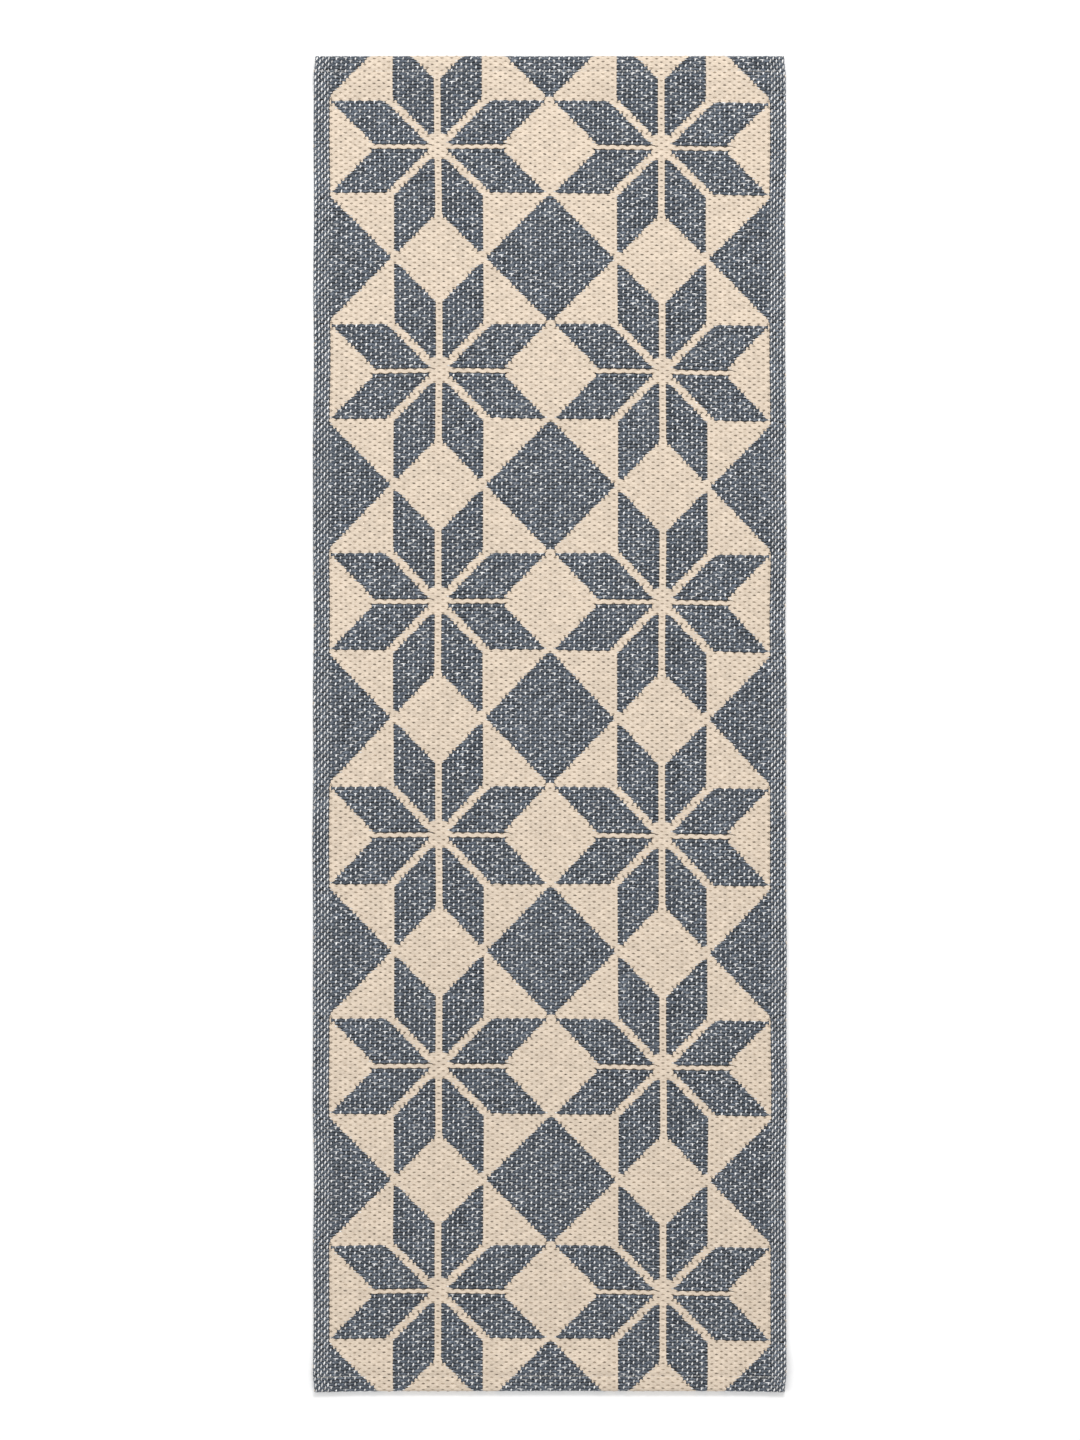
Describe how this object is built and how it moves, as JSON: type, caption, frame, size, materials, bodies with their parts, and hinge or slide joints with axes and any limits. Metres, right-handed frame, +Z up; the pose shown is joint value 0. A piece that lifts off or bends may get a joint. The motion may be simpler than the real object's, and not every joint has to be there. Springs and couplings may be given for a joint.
{
  "type": "runner rug",
  "caption": "Flat-woven runner rug in two reversible weft colours with large star petals, plain woven selvedges and sewn end hems.",
  "frame": {"origin": "middle of the rug on the floor it lies on", "axes": "+Y along the rug's length, +X across it, +Z up out of its face"},
  "size_m": [0.7, 1.978, 0.0103],
  "materials": {
    "blue_weft": "thick blue-grey yarn, matt, lightly flecked",
    "cream_weft": "thick cream yarn, matt",
    "warp_yarn": "off-white twisted cord, matt",
    "sewing_thread": "pale grey sewing thread, slight sheen"
  },
  "bodies": {
    "root": {"field_back_weft": "cream_weft", "field_inner_warp": "warp_yarn", "field_face_weft": "blue_weft", "selvedge_left": "blue_weft", "selvedge_cord_left_1": "warp_yarn", "selvedge_cord_left_2": "warp_yarn", "selvedge_cord_left_3": "warp_yarn", "selvedge_cord_left_4": "warp_yarn", "selvedge_cord_left_5": "warp_yarn", "selvedge_right": "blue_weft", "selvedge_cord_right_1": "warp_yarn", "selvedge_cord_right_2": "warp_yarn", "selvedge_cord_right_3": "warp_yarn", "selvedge_cord_right_4": "warp_yarn", "selvedge_cord_right_5": "warp_yarn", "end_hem_far": "blue_weft", "hem_needle_thread_far": "sewing_thread", "hem_bobbin_thread_far": "sewing_thread", "end_hem_near": "blue_weft", "hem_needle_thread_near": "sewing_thread", "hem_bobbin_thread_near": "sewing_thread"}
  },
  "joints": []
}
